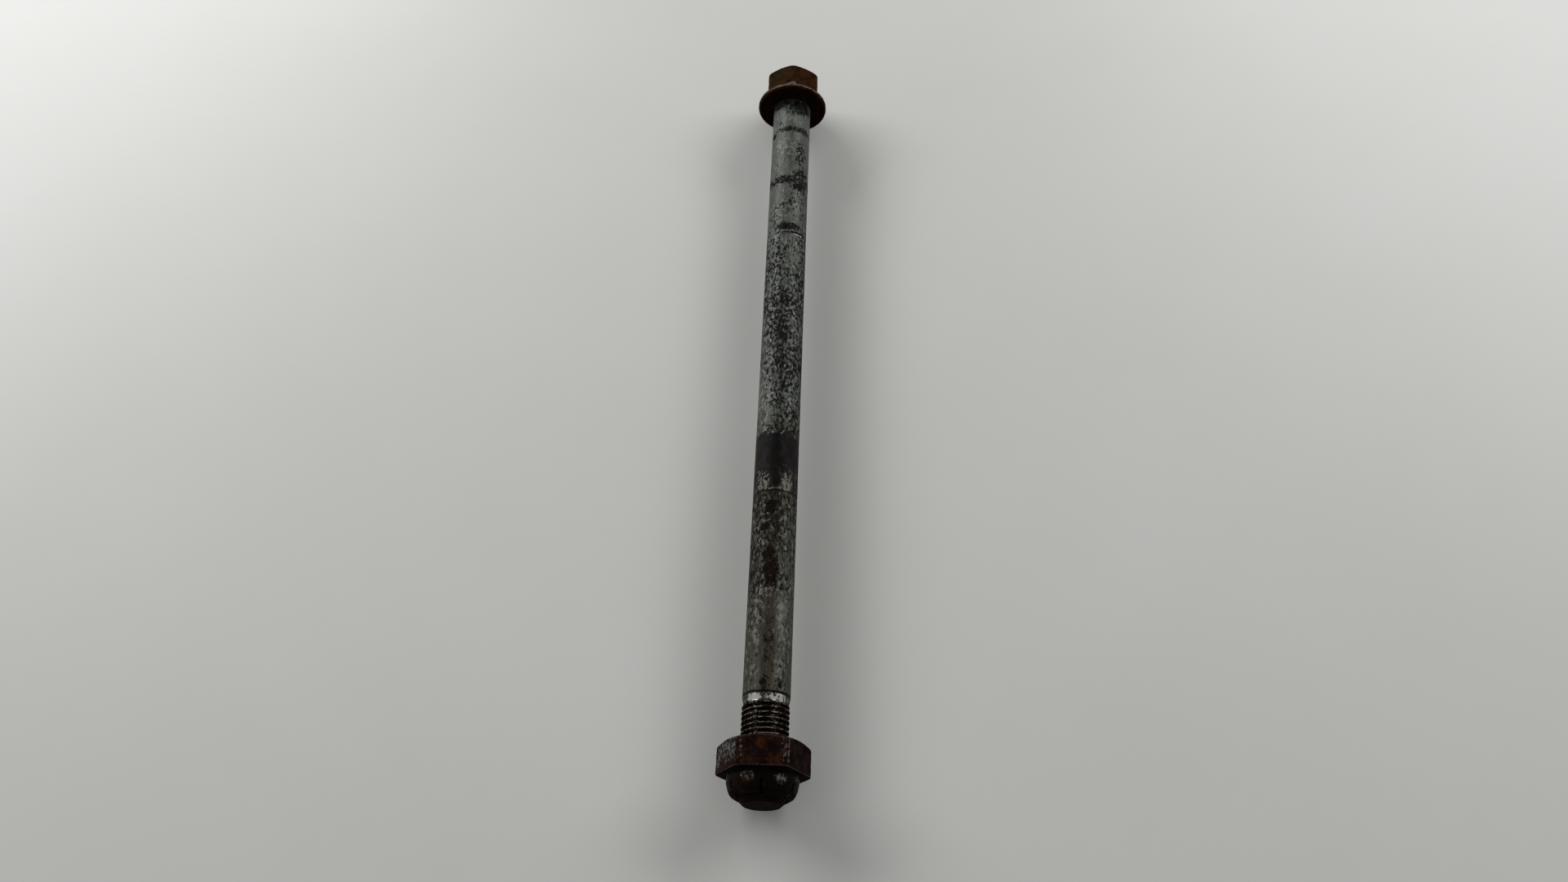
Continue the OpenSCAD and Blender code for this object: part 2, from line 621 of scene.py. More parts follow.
@dataclass(frozen=True)
class AgedZinc(Finish):
    """Dull zinc plating with dark specks, oil stain, rust breaking through and rubbed places, and painted
    light from its layers: pale marks along the highlight lines, a darker top line and a paler film on the
    sides.
    """

    plating: Colour = (0.042, 0.0455, 0.0385)
    plating_pale: Colour = (0.074, 0.0800, 0.0700)
    speck: Colour = (0.0055, 0.0053, 0.0046)
    film: Colour = (0.0013, 0.0010, 0.0009)
    # film_pale is the film's painted sheen, laid on by the film-sheen layer
    film_pale: Colour = (0.0115, 0.0090, 0.0094)
    chalk_and_highlight: Colour = (0.150, 0.158, 0.146)
    # These two tint the plating by the warm layer, which also carries a painted dark reflection and a
    # painted highlight.
    browned_and_painted_light: Colour = (0.54, 0.48, 0.405)
    dusted: Colour = (0.86, 0.79, 0.71)
    rust_deep: Colour = (0.0022, 0.0015, 0.0010)
    rust_fresh: Colour = (0.0135, 0.0058, 0.0028)
    metal: Colour = (0.40, 0.392, 0.362)
    tones: Spots = Spots(9.0, 0.20, 2.5)
    streaks: Spots = Spots(0.7, 0.12, 9.0, share=0.45)
    scores: Spots = Spots(0.5, 0.10, 7.0, share=0.40)
    dust: Spots = Spots(0.5, 0.09, share=0.36)
    chalk_and_highlight_spots: Spots = Spots(1.1, 0.08, 1.7)
    speck_spots: Spots = Spots(0.95, 0.06, 1.5)
    film_spots: Spots = Spots(2.2, 0.15, 1.3)
    film_sheen_spots: Spots = Spots(3.0, 0.15, 1.6)
    rust_spots: Spots = Spots(1.6, 0.06, 1.2)
    bare_spots: Spots = Spots(0.7, 0.06)

    def draw(self, sheet: Sheet, effects: Effects) -> dict[str, Input]:
        """Lays plating, chalk, specks, film, rust and bare metal over each other by their layers.

        Args:
            sheet: The material's nodes.
            effects: The shared node groups.

        Returns:
            What goes into the shader's inputs, by name.
        """
        tone = effects.spots(sheet, self.tones)
        streak = effects.spots(sheet, self.streaks)
        # Chalk mask; on the shank it also carries painted highlights and the painted dark top line.
        chalk_and_highlight = effects.spots(sheet, self.chalk_and_highlight_spots, Layer.BLOOM_AND_PAINTED_LIGHT)
        specks = effects.spots(sheet, self.speck_spots, Layer.SPECKS)
        film = effects.spots(sheet, self.film_spots, Layer.STAIN)
        rust = effects.spots(sheet, self.rust_spots, Layer.RUST)
        bare = effects.spots(sheet, self.bare_spots, Layer.BARE_AND_HIGHLIGHT)
        warm = sheet.layer(Layer.WARM)
        crust = sheet.use(effects.crust, Vector=sheet.place, Size=1.3, Deep=self.rust_deep,
                          Fresh=self.rust_fresh, Warmth=0.42, Grain=0.7)

        colour = sheet.mix(tone, self.plating, self.plating_pale)
        colour = sheet.mix(streak, colour, self.chalk_and_highlight, strength=0.35)
        colour = sheet.mix(effects.spots(sheet, self.scores), colour, self.speck, strength=0.38)
        colour = sheet.mix(warm, colour, self.browned_and_painted_light, blend="MULTIPLY")
        colour = sheet.mix(chalk_and_highlight, colour, self.chalk_and_highlight)
        colour = sheet.mix(warm, colour, self.dusted, blend="MULTIPLY")
        colour = sheet.mix(effects.spots(sheet, self.dust), colour, self.speck, strength=0.5)
        colour = sheet.mix(bare, colour, self.metal)
        colour = sheet.mix(specks, colour, self.speck)
        # Painted sheen: the dark film turns pale where the film-sheen layer is high, away from the shank's
        # top line.
        film_and_sheen = sheet.mix(effects.spots(sheet, self.film_sheen_spots, Layer.FILM_SHEEN), self.film, self.film_pale)
        colour = sheet.mix(film, colour, film_and_sheen, strength=0.985)
        colour = sheet.mix(rust, colour, crust.outputs["Color"])

        dull = sheet.math("MAXIMUM", sheet.math("MAXIMUM", specks, film), rust)
        rough = sheet.blend(chalk_and_highlight, sheet.blend(tone, 0.50, 0.56), 0.62)
        rough = sheet.blend(dull, sheet.blend(bare, rough, 0.34), 0.74)
        raised, sunk = sheet.math("MULTIPLY", chalk_and_highlight, 0.4), sheet.math("MULTIPLY", specks, 0.8)
        height = sheet.math("SUBTRACT", raised, sunk)
        height = sheet.math("ADD", height, sheet.math("MULTIPLY", streak, 0.15))
        height = sheet.blend(rust, height, crust.outputs["Height"])
        return {
            "Base Color": colour,
            "Metallic": sheet.blend(dull, sheet.blend(bare, 0.45, 1.0), 0.0),
            "Roughness": sheet.blend(film, rough, 0.48),
            "Specular IOR Level": 0.035,
            "Normal": sheet.bump(height, 0.35, 0.12),
        }


@dataclass(frozen=True)
class WornThread(Finish):
    """Thread with rubbed crests, dirty grooves and bright bare spots on its flanks, laid heaviest where
    highlights fall as painted glints.
    """

    groove: Colour = (0.0026, 0.0018, 0.0013)
    groove_red: Colour = (0.0105, 0.0032, 0.0018)
    crest: Colour = (0.105, 0.093, 0.074)
    metal: Colour = (0.18, 0.18, 0.155)
    reds: Spots = Spots(2.2, 0.15)
    flecks_and_glints: Spots = Spots(0.6, 0.06)
    wear: Scuffs = Scuffs(reach=0.13, size=1.2)

    def draw(self, sheet: Sheet, effects: Effects) -> dict[str, Input]:
        """Rubs the crests by the crest layer, scatters flecks, and leaves the grooves dark.

        Args:
            sheet: The material's nodes.
            effects: The shared node groups.

        Returns:
            What goes into the shader's inputs, by name.
        """
        flecks_and_glints = effects.spots(sheet, self.flecks_and_glints, Layer.BARE_AND_HIGHLIGHT)
        worn = effects.worn(sheet, self.wear, Layer.CREST)
        colour = sheet.mix(effects.spots(sheet, self.reds), self.groove, self.groove_red)
        colour = sheet.mix(worn, colour, self.crest)
        bright = sheet.math("MAXIMUM", worn, flecks_and_glints)
        return {
            "Base Color": sheet.mix(flecks_and_glints, colour, self.metal),
            "Metallic": sheet.blend(bright, 0.0, 0.7),
            "Roughness": sheet.blend(bright, 0.80, 0.38),
            "Specular IOR Level": 0.03,
            "Normal": sheet.bump(sheet.noise(sheet.place, 0.35, 3.0, 0.6), 0.4, 0.1),
        }


@dataclass(frozen=True)
class RustyForging(Finish):
    """Forged steel under a thin crust of rust, with black film, rubbed edges and bare chipped spots; on the
    nut some of the film is painted shade and some edges and spots are painted highlights.
    """

    deep: Colour = (0.006, 0.0030, 0.0014)
    cool: Colour = (0.024, 0.0145, 0.0050)
    warm: Colour = (0.036, 0.0105, 0.0026)
    film: Colour = (0.0035, 0.0010, 0.0008)
    rubbed: Colour = (0.062, 0.040, 0.029)
    metal: Colour = (0.085, 0.079, 0.076)
    patch_size: float = 2.4
    freshness: float = 0.62
    film_roughness: float = 0.60
    specular: float = 0.02
    film_spots: Spots = Spots(1.8, 0.15)
    chips_and_highlights: Spots = Spots(1.0, 0.11)
    wear: Scuffs = Scuffs(reach=0.5, size=0.8)

    def draw(self, sheet: Sheet, effects: Effects) -> dict[str, Input]:
        """Lays crust, film, rubbed edges and bare chips over each other by their layers.

        Args:
            sheet: The material's nodes.
            effects: The shared node groups.

        Returns:
            What goes into the shader's inputs, by name.
        """
        fresh = sheet.mix(sheet.layer(Layer.WARM), self.cool, self.warm)
        crust = sheet.use(effects.crust, Vector=sheet.place, Size=self.patch_size, Deep=self.deep,
                          Fresh=fresh, Warmth=self.freshness, Grain=0.6)
        film = effects.spots(sheet, self.film_spots, Layer.STAIN)
        worn = effects.worn(sheet, self.wear, Layer.EDGE)
        bare = effects.spots(sheet, self.chips_and_highlights, Layer.BARE_AND_HIGHLIGHT)
        colour = sheet.mix(film, crust.outputs["Color"], self.film, strength=0.95)
        colour = sheet.mix(worn, colour, self.rubbed)
        metallic = sheet.blend(worn, 0.0, 0.5)
        shine = sheet.blend(sheet.layer(Layer.GLOSS), 0.80, self.film_roughness)
        rough = sheet.blend(worn, sheet.blend(film, 0.84, shine), 0.45)
        return {
            "Base Color": sheet.mix(bare, colour, self.metal),
            "Metallic": sheet.blend(bare, metallic, 0.6),
            "Roughness": sheet.blend(bare, rough, 0.42),
            "Specular IOR Level": self.specular,
            "Normal": sheet.bump(crust.outputs["Height"], 0.5, 0.18),
        }


@dataclass(frozen=True)
class TableTop(Finish):
    """Plain pale laminate with a faint unevenness in tone."""

    pale: Colour = (0.50, 0.50, 0.482)
    paler: Colour = (0.525, 0.525, 0.51)
    tones: Spots = Spots(160.0, 0.3)

    def draw(self, sheet: Sheet, effects: Effects) -> dict[str, Input]:
        """Mixes two near tones in large soft patches.

        Args:
            sheet: The material's nodes.
            effects: The shared node groups.

        Returns:
            What goes into the shader's inputs, by name.
        """
        colour = sheet.mix(effects.spots(sheet, self.tones), self.pale, self.paler)
        return {"Base Color": colour, "Roughness": 0.42, "Specular IOR Level": 0.35}


# ---------------------------------------------------------------- the bolt


@dataclass
class PivotBolt:
    """Flanged hexagon bolt: a head, a long plain shank and a short right-handed thread."""

    shank_d: float = 14.0
    shank_len: float = 230.5
    fillet_r: float = 0.8
    thread_d: float = 13.9
    pitch: float = 1.5
    thread_x: float = 232.6
    first_crest_x: float = 233.13
    crest_half: float = 0.085       # half width of a crest, in pitches
    flank: float = 0.30             # width of a flank, in pitches
    tip_chamfer: float = 1.4
    tip_face_d: float = 10.77
    lead_d: float = 12.98
    flange_bevel: float = 0.8
    flange_rim: float = 1.9
    flange_top: float = 3.5
    flange_top_d: float = 18.6
    head_af: float = 19.0
    head_corner_d: float = 21.2
    head_top_d: float = 18.2
    arris: float = 0.12             # reach of the rounding on the flange's edges
    head_finish_x: float = 0.3      # where in the fillet the head's finish begins
    scored_rings: tuple[float, ...] = (65.05, 167.03)

    shank_waves: Waves = Waves(0.03, 14, seed=1)
    head_waves: Waves = Waves(0.10, 3.0, seed=2)
    patches: Waves = Waves(1.0, 25, seed=5)
    clouds: Waves = Waves(1.0, 11, seed=6)

    dents: Marks = (
        Mark(-4.6, -2, 1.7, 2.6, 0.30), Mark(-5.6, -9, 0.7, 1.0, 0.22), Mark(-6.9, -1, 0.6, 0.7, 0.2),
        Mark(-2.6, 27, 0.9, 1.6, 0.18),
    )
    specks: Marks = (
        Mark(5, 25, 4.5, 7, 0.55), Mark(12, -32, 1.2, 0.9, 0.62), Mark(15.6, 20, 2.0, 12, 0.58),
        Mark(28, 38, 9, 3.2, 0.54), Mark(37, 38, 3, 4, 0.66), Mark(40.5, 0, 2.4, RING, 0.60),
        Mark(43, 30, 3, 5, 0.66), Mark(62.3, 8, 2.0, 7.5, 0.66), Mark(64.6, 40, 0.5, 4, 0.8),
        Mark(52, 8, 8, 3.0, 0.46), Mark(74, -12, 7, 4, 0.52), Mark(127, 14, 7, 4.5, 0.57),
        Mark(228, 35, 2.5, 2.5, 0.55), Mark(200, 170, 14, 6, 0.55), Mark(120, 120, 16, 5, 0.62),
    )
    stains_and_shade: Marks = (
        # The first two darken the shank next to the head: film and painted shade.
        Mark(2.5, -40, 2.4, 7, 0.72), Mark(3.5, 35, 3.4, 5, 0.8), Mark(15.8, 15, 1.3, 11, 0.52),
        Mark(41, 28, 2.2, 5, 0.6), Mark(62.6, 2, 1.5, 4.5, 0.78), Mark(152.6, 0, 7.2, RING, 1.0),
        Mark(162.5, 3, 5.0, 2.3, 0.66), Mark(163, 65, 5.5, 3.5, 0.58), Mark(161, -80, 6, 4, 0.56),
        Mark(167.0, 0, 0.28, RING, 0.9), Mark(65.0, 18, 0.3, 6, 0.85), Mark(190, -70, 12, 5, 0.5),
        Mark(230.3, 0, 0.38, RING, 0.85),
    )
    rust: Marks = (
        Mark(17, -58, 1.9, 1.5, 0.7), Mark(158, 0, 5, 2.6, 0.55), Mark(172.4, -8, 3.2, 2.2, 0.82),
        Mark(179.2, -20, 1.8, 1.6, 0.84), Mark(187.5, -10, 3, 2.2, 0.71), Mark(193.5, -2, 6, 2.9, 0.75),
        Mark(217, 0, 14, 2.2, 0.42), Mark(228, -3, 3, 2.4, 0.52), Mark(120, -5, 3, 2, 0.42),
        Mark(190, -60, 8, 2.6, 0.45), Mark(90, 150, 5, 3, 0.6), Mark(181, 160, 9, 3.5, 0.62),
    )
    # Pale chalk, most of it laid along the two lines near ±32 degrees where the lamps' highlights run:
    # partly chalk, partly painted highlight.
    bloom_and_painted_light: Marks = (
        Mark(163.2, -34, 3.8, 2.8, 0.78), Mark(163.6, 32, 4.2, 3.0, 0.76), Mark(184, -34, 4, 2, 0.52),
        Mark(166.1, 5, 0.5, 7, 0.6), Mark(199, -25, 2, 2, 0.54), Mark(204, -33, 2.4, 2, 0.56),
        Mark(208.5, -38, 2.6, 2.2, 0.55), Mark(214, -34, 3.5, 2, 0.52), Mark(223, -36, 5, 1.6, 0.46),
        Mark(206, 34, 14, 2.8, 0.46), Mark(130, 30, 18, 2.4, 0.5), Mark(100, 34, 14, 2.0, 0.5),
        Mark(117, -32, 3, 1.5, 0.58), Mark(10, -10, 4, 6, 0.4), Mark(24, -20, 6, 6, 0.45),
        Mark(54, 25, 6, 2.4, 0.5),
    )
    # Bare metal, all but the ring laid near ±32 to 38 degrees where the lamps' highlights fall: real bare
    # metal placed as painted highlights.
    bright: Marks = (
        Mark(1.2, 32, 0.7, 0.9, 0.9), Mark(65.3, 38, 0.3, 3.2, 0.62), Mark(231.7, -32, 1.4, 2.8, 0.8),
        Mark(231.7, 34, 1.4, 3.1, 0.97), Mark(231.7, 0, 1.2, RING, 0.36),
    )
    head_chips: Marks = (
        Mark(-4.5, -8, 1.3, 3.4, 0.6), Mark(-5.2, 1, 0.9, 1.6, 0.6), Mark(-2.9, 24, 0.9, 3.2, 0.55),
        Mark(-2.6, 48, 0.8, 2.0, 0.5), Mark(-1.9, 12, 0.6, 5.0, 0.5),
    )
    speck_levels: Levels = (
        (0, 0.15), (12, 0.20), (60, 0.36), (85, 0.48), (120, 0.49), (145, 0.45), (156, 0.3), (159, 0.52),
        (166, 0.52), (175, 0.45), (200, 0.42), (215, 0.34), (230, 0.32), (231, 0.34),
    )
    # Painted dark reflection along the top line: specks added there from 66 mm to about 195 mm, and taken
    # away toward the thread, where the top is painted lighter.
    speck_top_shade: Levels = (
        (66, 0), (85, 0.03), (110, 0.05), (145, 0.03), (165, 0.02), (195, -0.02), (206, -0.12),
        (232, -0.14),
    )
    # Painted light on the left side, round -60 degrees, by fewer specks; painted shade on the right, past
    # 25 degrees, by more.
    lit_side_speck_cut: Levels = ((80, 0), (95, 0.06), (120, 0.08), (145, 0.13), (150, 0))
    shaded_side_speck_add: Levels = ((0, 0), (45, 0.05), (70, 0.08), (110, 0.03), (145, 0.05), (150, 0))
    bloom_levels: Levels = ((50, 0.30), (85, 0.45), (150, 0.42), (170, 0.38), (200, 0.42), (230, 0.36))
    # Chalk taken off the top line: more of the same painted dark reflection.
    bloom_top_shade: Levels = ((60, 0), (100, 0.1), (200, 0.1), (212, 0.22))
    brown_levels: Levels = ((135, 0.0), (162, 0.85), (205, 0.66), (228, 0.62))

    def __post_init__(self) -> None:
        """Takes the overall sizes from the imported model."""
        low, high = (np.array(corner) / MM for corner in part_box("pivot_bolt"))
        self.length = float(high[0])
        self.head_h = float(-low[0])
        self.flange_d = 2 * float(min(high[1], high[2]))
        self.nut_x = float(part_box("lock_nut")[0][0]) / MM

    @property
    def columns(self) -> np.ndarray:
        """Columns of the mesh, close together at the head's six corners.

        Returns:
            Their azimuths, in order.
        """
        half = [0, 1, 2, 3, 4, 5.5, 8, 11, 15, 20, 25, 30]
        sector = np.array(half + [SECTOR - a for a in half[-2:0:-1]])
        return np.concatenate([sector + SECTOR * k for k in range(SECTORS)])

    def thread_radius(self, x: np.ndarray, azimuth: np.ndarray) -> tuple[np.ndarray, np.ndarray]:
        """Radius of a 60 degree thread that turns to the right.

        The crest is at first_crest_x on the upper side and falls back by one pitch for each
        turn toward +Y. The groove's depth grows from nothing over its first turn.

        Args:
            x: Places along the bolt.
            azimuth: Azimuths.

        Returns:
            The radius, and the height on the thread from 0 at its root to 1 at its crest.
        """
        phase = (x - self.first_crest_x) / self.pitch + azimuth / 360
        off_crest = np.abs((phase + 0.5) % 1 - 0.5)
        height = 1 - np.clip((off_crest - self.crest_half) / self.flank, 0, 1)
        height = 0.5 * height + 0.5 * height * height * (3 - 2 * height)
        depth = THREAD_DEPTH * self.pitch * smooth_step(x, self.thread_x - 0.4, self.thread_x + 1.3)
        return self.thread_d / 2 - depth * (1 - height), height

    def rows(self) -> tuple[np.ndarray, np.ndarray]:
        """Rows of the turned part, from the middle of the tip's face to the fillet.

        Returns:
            Places along the bolt, and the share of the way from the axis to the rim of the
            tip's face (1 on the side).
        """
        tip, band_x, shank_x = self.length, self.thread_x - 0.4, self.shank_len - 0.3
        thread = steps(tip, tip - self.tip_chamfer, band_x, gap=self.pitch / 12)
        band = steps(band_x, self.shank_len + 0.3, shank_x, gap=0.15)[1:]
        shank = steps(shank_x, self.fillet_r, gap=0.85)[1:]
        by_rings = [ring + np.linspace(-1.0, 1.0, 11) for ring in self.scored_rings]
        side = np.concatenate([thread, band, np.sort(np.concatenate([shank, *by_rings]))[::-1]])
        face = np.array([0.25, 0.5, 0.75, 0.9, 0.97])
        return np.concatenate([0 * face + tip, side]), np.concatenate([face, np.ones(len(side))])

    def turned(self, azimuth: np.ndarray) -> Skin:
        """Surface of tip, thread, band and shank.

        The radius is the smallest of the thread, the cone on the tip and the cone that leads
        from the shank down to the thread, and nowhere more than the shank's.

        Args:
            azimuth: Azimuths of the columns.

        Returns:
            The surface, with the thread's height as its crest layer, lowered inside the nut as painted
            shade.
        """
        x, share = (values[:, None] for values in self.rows())
        x = x + 0 * azimuth
        rise = (self.thread_d - self.tip_face_d) / 2 / self.tip_chamfer
        tip = self.tip_face_d / 2 + (self.length - x) * rise
        rise = (self.shank_d - self.lead_d) / 2 / (self.thread_x - self.shank_len)
        lead = self.lead_d / 2 + np.maximum(self.thread_x - x, 0) * rise + np.maximum(x - self.thread_x, 0)
        screw, height = self.thread_radius(x, azimuth + 0 * x)
        radius = smooth_min(smooth_min(screw, lead, 0.12)[0], tip, 0.25)[0]
        shank_r = self.shank_d / 2
        radius = np.where(x < self.shank_len - 0.25, shank_r, np.minimum(radius, shank_r))
        radius = np.where(share < 1, self.tip_face_d / 2 * share, radius)
        height = np.where(x < self.thread_x - 0.2, 0, height)
        height = height * np.where(x > self.length - self.tip_chamfer, 0.3, 1)
        # Crest wear dulled inside the nut: painted shade for the thread seen through the slots.
        in_nut_shade = smooth_step(x, self.nut_x - 0.3, self.nut_x + 0.3)
        crest = height * (1 - 0.75 * in_nut_shade)
        return Skin(x, radius, azimuth + 0 * x, {Layer.CREST: crest, Layer.EDGE: 0 * x})

    def underside(self) -> np.ndarray:
        """Outline of the fillet, the bearing face, the bevel and the rim.

        Returns:
            Rows of place along, radius and nearness to an edge.
        """
        rim_r, soft = self.flange_d / 2, self.arris
        face_r, rim_x = rim_r - self.flange_bevel, -self.flange_bevel
        turn = np.radians(np.linspace(15, 90, 6))
        fillet_x = self.fillet_r * (1 - np.sin(turn))
        fillet_r = self.shank_d / 2 + self.fillet_r * (1 - np.cos(turn))
        bearing = steps(self.shank_d / 2 + self.fillet_r, face_r - 0.15, gap=0.7)[1:]
        bevel = [
            (0.0, face_r - soft, 0.0), (-0.03, face_r, 0.25), (-soft, face_r + soft * 0.75, 0.1),
            (rim_x + soft * 0.75, rim_r - soft, 0.1), (rim_x, rim_r - 0.03, 0.6),
            (rim_x - soft, rim_r, 0.78), (-self.flange_rim + soft, rim_r, 0.66),
        ]
        fillet = np.column_stack([fillet_x, fillet_r, 0 * turn])
        return np.concatenate([fillet, np.column_stack([0 * bearing, bearing, 0 * bearing]), bevel])

    def side(self, azimuth: np.ndarray) -> tuple[np.ndarray, np.ndarray, np.ndarray]:
        """Sloping top of the flange and side of the hexagon.

        The radius is the larger of the flange's cone and the hexagon, where the hexagon is the
        smallest of the flats af / (2 cos f), the corner's round and the chamfer's cone.

        Args:
            azimuth: Azimuths of the columns.

        Returns:
            Places along, radii, and nearness to an edge, each as rows by columns.
        """
        top, foot = -self.head_h, -self.flange_top - 0.5
        runs = [steps(-self.flange_rim, foot, gap=0.1), steps(foot, top + 1.6, gap=0.55)[1:],
                steps(top + 1.6, top + 0.05, gap=0.11)[1:]]
        x = np.concatenate(runs)[:, None] + 0 * azimuth
        slope = (self.flange_d - self.flange_top_d) / 2 / (self.flange_top - self.flange_rim)
        flange = self.flange_d / 2 + (x + self.flange_rim) * slope
        flats = self.head_af / 2 / np.cos(np.radians(azimuth % SECTOR - SECTOR / 2)) + 0 * x
        hexagon, corner = smooth_min(flats, self.head_corner_d / 2, 0.14)
        hexagon, upper = smooth_min(hexagon, self.head_top_d / 2 + (x - top) / CHAMFER_SLOPE, 0.35)
        inner, meeting = smooth_min(-flange, -hexagon, 0.5)
        radius, rim = smooth_min(-inner, self.flange_d / 2, 0.25)
        edge = np.maximum(0.35 * np.maximum(corner * (1 - meeting), upper), 0.8 * rim)
        return x, radius, np.where(x < -self.flange_top + 0.4, edge, rim)

    def cap(self) -> np.ndarray:
        """Outline of the flat top of the head.

        Returns:
            Rows of place along, radius and nearness to an edge.
        """
        share = np.array([1.0, 0.985, 0.95, 0.85, 0.7, 0.5, 0.3, 0.12])
        along = np.where(share == 1, 0.02, 0) - self.head_h
        return np.column_stack([along, self.head_top_d / 2 * share, [1, 0.9, 0.5, 0.1, 0, 0, 0, 0]])

    def head(self, azimuth: np.ndarray) -> Skin:
        """Surface of the fillet, flange and hexagon.

        Args:
            azimuth: Azimuths of the columns.

        Returns:
            The surface, with its edge layer.
        """
        under, cap = (rows.T[:, :, None] + 0 * azimuth for rows in (self.underside(), self.cap()))
        x, radius, edge = (np.concatenate(parts) for parts in zip(under, self.side(azimuth), cap))
        return Skin(x, radius, azimuth + 0 * x, {Layer.CREST: 0 * x, Layer.EDGE: edge})

    def wear(self, skin: Skin) -> None:
        """Pits the shank and the head, dents the head, and scores the two rings.

        Args:
            skin: The bolt's surface.
        """
        on_head = skin.along < self.fillet_r
        skin.roughen(self.shank_waves, ~on_head & (skin.along < self.shank_len))
        skin.roughen(self.head_waves, on_head & (skin.along < -self.flange_rim + 0.3))
        skin.dent(self.dents + tuple(Mark(ring, 0, 0.3, RING, 0.06) for ring in self.scored_rings))

    def dress_shank(self, skin: Skin) -> None:
        """Paints the layers of the shank, the band and the thread, over all the rows.

        Args:
            skin: The bolt's surface, after its wear.
        """
        x, turn = skin.along, skin.turn
        # ridge is the top line of the shank, which the layers below paint darker as a painted dark
        # reflection.
        ridge = bell(turn, 0, 21)
        patchy, cloudy = self.patches.at(skin.points()), self.clouds.at(skin.points())
        base = level_at(x, self.speck_levels) + ridge * level_at(x, self.speck_top_shade)
        # Fewer specks on the left side (painted light) and more on the right (painted shade).
        lit_side = bell(turn, -60, 32) * level_at(x, self.lit_side_speck_cut)
        shaded_side = smooth_step(turn, 25, 65) * level_at(x, self.shaded_side_speck_add)
        specks = np.clip(base - lit_side + shaded_side + 0.07 * patchy + 0.07 * cloudy, 0, 1)
        bloom_and_painted_light = level_at(x, self.bloom_levels) + 0.08 * cloudy - ridge * level_at(x, self.bloom_top_shade)
        # Browning heavier along the top line (painted dark reflection) and, below, lighter round +38
        # degrees from 168 mm on (painted highlight).
        browned_and_painted_light = level_at(x, self.brown_levels) * (1 + 0.4 * ridge)
        # Bright spots on the thread, heaviest at ±28 degrees where the lamps' highlights fall (painted
        # glints), and none inside the nut (painted shade).
        flecks_and_glints = 0.24 + 0.17 * bell(np.abs(turn), 28, 14)
        flecks_and_glints = flecks_and_glints * (1 - smooth_step(x, self.nut_x, self.nut_x + 1))
        skin.layers |= {
            Layer.SPECKS: np.maximum(specks, skin.paint(self.specks)),
            Layer.STAIN: skin.paint(self.stains_and_shade),
            # The film is painted paler away from the top line as a painted sheen, and a little less pale
            # past 25 degrees on the right.
            Layer.FILM_SHEEN: 0.20 + 0.42 * (1 - ridge) - 0.10 * smooth_step(turn, 5, 25),
            Layer.RUST: skin.paint(self.rust),
            Layer.BLOOM_AND_PAINTED_LIGHT: np.maximum(skin.paint(self.bloom_and_painted_light), bloom_and_painted_light) * (x < self.shank_len),
            Layer.WARM: browned_and_painted_light - 0.35 * bell(turn, 38, 22) * smooth_step(x, 168, 180),
            Layer.BARE_AND_HIGHLIGHT: np.where(x > self.thread_x, flecks_and_glints, skin.paint(self.bright)),
        }

    def dress_head(self, skin: Skin) -> None:
        """Paints the head's layers: a black film, heavy under the flange, and orange on one side.

        Args:
            skin: The bolt's surface, after the shank's layers.
        """
        x = skin.along
        under = 0.70 * smooth_step(x, -0.35, -0.05)
        foot = 0.45 * bell(x, -3.2, 0.7)
        top = 0.55 * (1 - smooth_step(x, -self.head_h + 0.1, -self.head_h + 1.2))
        orange = np.clip(0.5 + 0.5 * np.sin(np.radians(skin.azimuth)), 0, 1)
        painted = {
            Layer.SPECKS: 0.0,
            Layer.STAIN: np.maximum(np.maximum(under, foot), np.maximum(top, 0.12)),
            Layer.BLOOM_AND_PAINTED_LIGHT: 0.0,
            Layer.WARM: np.maximum(orange, 0.85 * smooth_step(x, -1.2, -0.7)),
            Layer.BARE_AND_HIGHLIGHT: skin.paint(self.head_chips),
        }
        for layer, value in painted.items():
            skin.layers[layer] = np.where(x < self.fillet_r, value, skin.layers[layer])

    def build(self, effects: Effects) -> bpy.types.Object:
        """Builds the bolt as one closed mesh and dresses it.

        Args:
            effects: The shared node groups.

        Returns:
            The finished piece.
        """
        azimuth = self.columns[None, :]
        skin = self.turned(azimuth).followed_by(self.head(azimuth))
        self.wear(skin)
        self.dress_shank(skin)
        self.dress_head(skin)
        row_x = skin.along[:, 0]
        finishes = (WornThread("worn_thread"), AgedZinc("aged_zinc"), RustyForging("rusty_head"))
        finish_of_row = np.select([row_x > self.thread_x + 0.05, row_x < self.head_finish_x], [0, 2], 1)
        materials = [finish.material(effects) for finish in finishes]
        piece = skin.piece("bolt_dressed", materials, finish_of_row, capped=True)
        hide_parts("pivot_bolt")
        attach(piece, "bolt")
        return piece


# ---------------------------------------------------------------- the nut


class Face(IntEnum):
    """Face of the nut that a row of its outline is on."""

    BORE = 0
    BEARING = 1
    SIDE = 2
    OUTER = 3
    CROWN = 4
    TOP = 5


